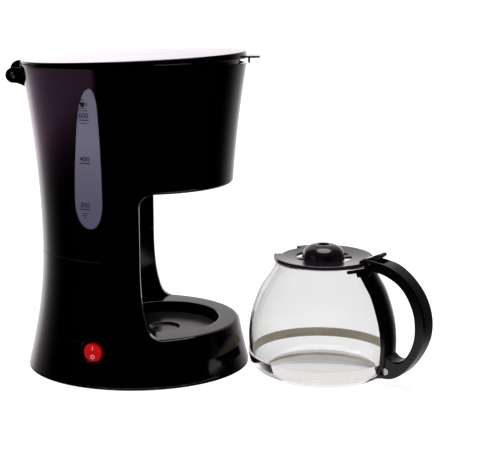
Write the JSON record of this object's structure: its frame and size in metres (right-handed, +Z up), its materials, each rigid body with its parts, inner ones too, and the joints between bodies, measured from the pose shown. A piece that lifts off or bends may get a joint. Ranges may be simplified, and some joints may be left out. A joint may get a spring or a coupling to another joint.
{
  "type": "drip coffee maker",
  "caption": "Compact oval drip coffee maker with hinged lid, side level window, rocker switch, warming plate and a lift-off glass carafe beside it.",
  "frame": {"origin": "on the standing surface, under the middle of the whole object's box (machine and carafe together)", "axes": "+X from the machine's back to its front, where the carafe stands; -Y is the side with the level window and the switch; +Z up"},
  "size_m": [0.3462, 0.171, 0.2646],
  "materials": {
    "gloss_black": "high-gloss moulded black, faint plum tint",
    "inner_black": "satin moulded black",
    "rubber": "matte",
    "silicone": "satin translucent white",
    "warm_plate": "non-stick coating, semi-gloss",
    "aluminium": "cast",
    "steel": "zinc-plated",
    "band_steel": "polished stainless",
    "brass": "tinned brass",
    "smoke_clear": "smoked clear plastic",
    "tank_clear": "translucent moulded plastic",
    "switch_red": "translucent red, gloss",
    "nylon_mesh": "fine woven nylon",
    "glass": "clear borosilicate glass",
    "wire_cover": "woven glass sleeve"
  },
  "bodies": {
    "machine": {"lower_housing": "gloss_black", "upper_housing": "gloss_black", "bottom_cover": "inner_black", "cover_screw_1": "steel", "cover_screw_2": "steel", "cover_screw_3": "steel", "cover_screw_4": "steel", "foot_1": "rubber", "foot_2": "rubber", "foot_3": "rubber", "foot_4": "rubber", "warming_plate": "warm_plate", "plate_seal": "rubber", "heater_block": "aluminium", "heater_clamp": "steel", "clamp_screw": "steel", "thermostat": "aluminium", "thermal_fuse": "steel", "switch_bezel": "gloss_black", "switch_terminal_1": "brass", "switch_terminal_2": "brass", "cord_gland": "rubber", "level_window": "smoke_clear", "water_tank": "tank_clear", "tank_grommet": "silicone", "check_valve_body": "smoke_clear", "inlet_hose": "silicone", "riser_hose": "silicone", "shower_arm": "inner_black", "inner_deck": "inner_black", "filter_basket": "inner_black", "filter_mesh": "nylon_mesh", "filter_frame": "inner_black", "lid_hinge_pin": "steel", "wire_switch_to_thermostat": "wire_cover", "wire_gland_to_switch": "wire_cover"},
    "lid": {"lid": "gloss_black"},
    "switch_rocker": {"switch_rocker": "switch_red"},
    "check_valve_ball": {"check_valve_ball": "steel"},
    "carafe": {"carafe_glass": "glass", "carafe_band": "band_steel", "carafe_handle": "gloss_black", "band_screw": "steel", "band_nut": "steel", "carafe_lid_pin": "steel"},
    "carafe_lid": {"carafe_lid": "gloss_black"}
  },
  "joints": [
    {"name": "lid_hinge", "type": "hinge", "parent": "machine", "child": "lid", "pos_m": [-0.16685, 0.00335, 0.245], "axis": [0, -1, 0], "range_deg": [0, 100]},
    {"name": "switch_rock", "type": "hinge", "parent": "machine", "child": "switch_rocker", "pos_m": [-0.09668, -0.06583, 0.02909], "axis": [-0.9551, 0.2963, 0], "range_deg": [0, 20]},
    {"name": "valve_ball_lift", "type": "slide", "parent": "machine", "child": "check_valve_ball", "axis": [0, 0, 1], "range_m": [0, 0.0022]},
    {"name": "carafe_lift", "type": "slide", "parent": "machine", "child": "carafe", "axis": [0, 0, 1], "range_m": [0, 0.15]},
    {"name": "carafe_lid_hinge", "type": "hinge", "parent": "carafe", "child": "carafe_lid", "pos_m": [0.12675, -0.04971, 0.0998], "axis": [0.5736, 0.8192, 0], "range_deg": [0, 60]}
  ]
}
